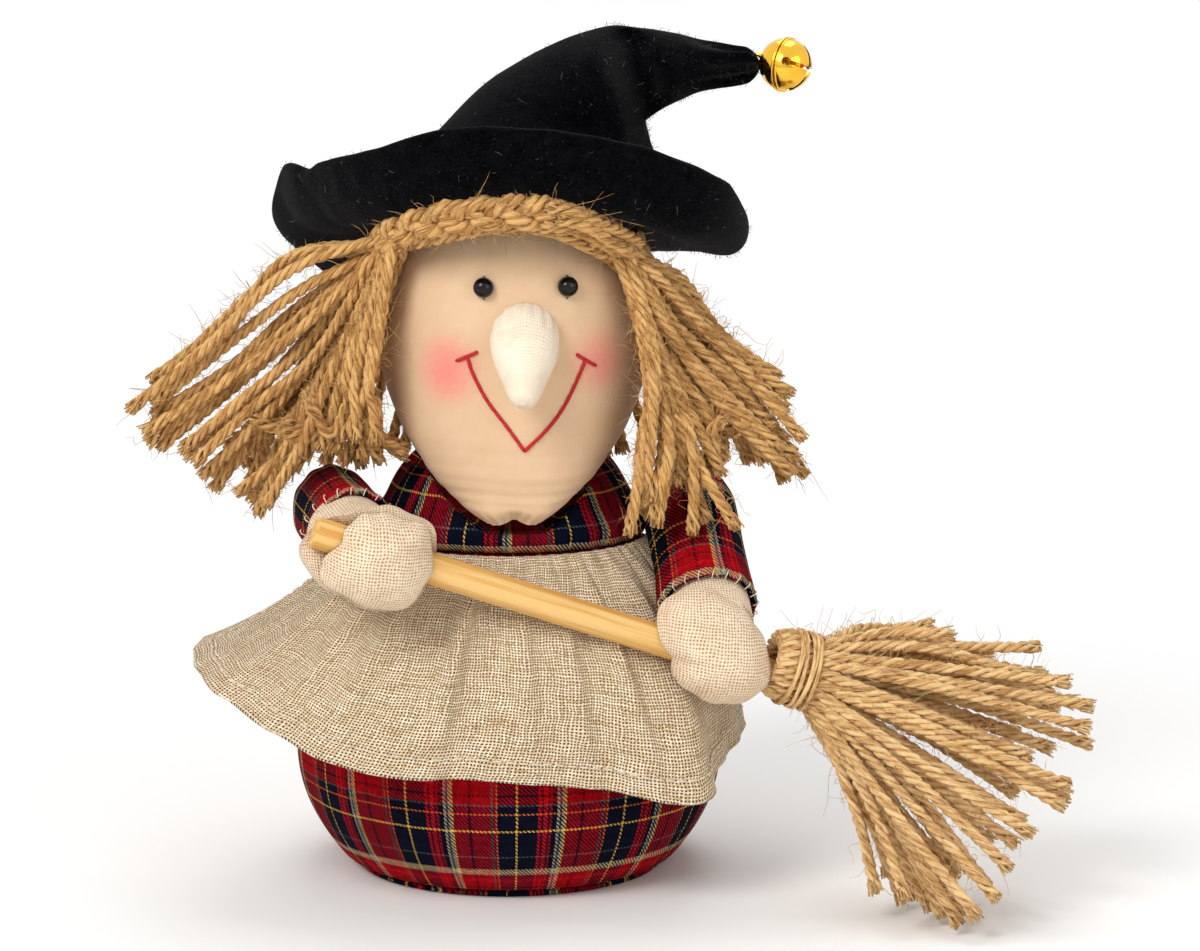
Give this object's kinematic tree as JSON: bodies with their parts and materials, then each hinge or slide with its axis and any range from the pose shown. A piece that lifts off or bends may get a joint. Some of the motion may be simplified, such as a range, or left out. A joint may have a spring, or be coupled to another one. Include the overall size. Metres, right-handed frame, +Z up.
{
  "type": "befana doll",
  "caption": "Stuffed cloth befana doll with a bent felt hat, jute hair, linen apron and weighted round base, holding a jute broom across its body in mitten hands.",
  "frame": {"origin": "centre of the flat round base, on the surface that the doll stands on", "axes": "+Z up; -Y the way the doll faces; +X towards the viewer's right as the doll is seen from the front, which is the side of the brush and of the hat's tip"},
  "size_m": [0.2403, 0.1422, 0.2115],
  "materials": {
    "tartan": "woven cotton tartan, red and navy with fine yellow, white and orange lines",
    "linen": "unbleached open-weave linen",
    "skin": "plain tea-coloured cotton, matt",
    "muslin": "cream open-weave muslin",
    "stuffing": "polyester fibre, hidden",
    "pellets": "plastic pellets in a bag, hidden",
    "jute": "twisted natural jute cord",
    "felt": "thick black wool felt",
    "wood": "bare pale dowel, satin",
    "bead": "black, high gloss",
    "brass": "bright gold plate",
    "steel": "plain steel ball inside the bell"
  },
  "bodies": {
    "doll": {"base_panel": "tartan", "pellet_bag": "pellets", "body_filling": "stuffing", "lower_body": "tartan", "chest_filling": "stuffing", "bodice": "tartan", "apron_skirt": "linen", "head_cover": "skin", "head_filling": "stuffing", "nose": "muslin", "right_eye": "bead", "left_eye": "bead", "front_hair": "jute", "right_hair": "jute", "left_hair": "jute", "hat_brim": "felt", "hat_crown": "felt"},
    "left_arm": {"left_sleeve": "tartan", "left_arm_filling": "stuffing", "left_hand": "muslin"},
    "right_arm": {"right_sleeve": "tartan", "right_arm_filling": "stuffing", "right_hand": "muslin"},
    "broom": {"broom_handle": "wood", "broom_brush": "jute", "broom_binding": "jute"},
    "bell": {"bell_cap": "brass", "bell_cup": "brass"},
    "bell_ball": {"bell_ball": "steel"}
  },
  "joints": [
    {"name": "left_shoulder", "type": "hinge", "parent": "doll", "child": "left_arm", "pos_m": [0.045, -0.004, 0.09], "axis": [-1, 0, 0], "range_deg": [0, 15]},
    {"name": "right_shoulder", "type": "hinge", "parent": "doll", "child": "right_arm", "pos_m": [-0.045, -0.004, 0.09], "axis": [-1, 0, 0], "range_deg": [0, 15]},
    {"name": "broom_twist", "type": "hinge", "parent": "left_arm", "child": "broom", "pos_m": [0.01796, -0.04831, 0.07275], "axis": [0.9253, 0.1794, -0.3342], "range_deg": [-20, 0]},
    {"name": "bell_swing", "type": "hinge", "parent": "doll", "child": "bell", "pos_m": [0.06167, 0.00107, 0.20212], "axis": [0, 1, 0], "range_deg": [-12, 12], "stiffness_Nm_per_rad": 0.02},
    {"name": "ball_drop", "type": "slide", "parent": "bell", "child": "bell_ball", "axis": [0, 0, 1], "range_m": [0, 0.0075]}
  ],
  "couplings": [
    {"joint": "right_shoulder", "follows": "left_shoulder", "ratio": 1}
  ]
}
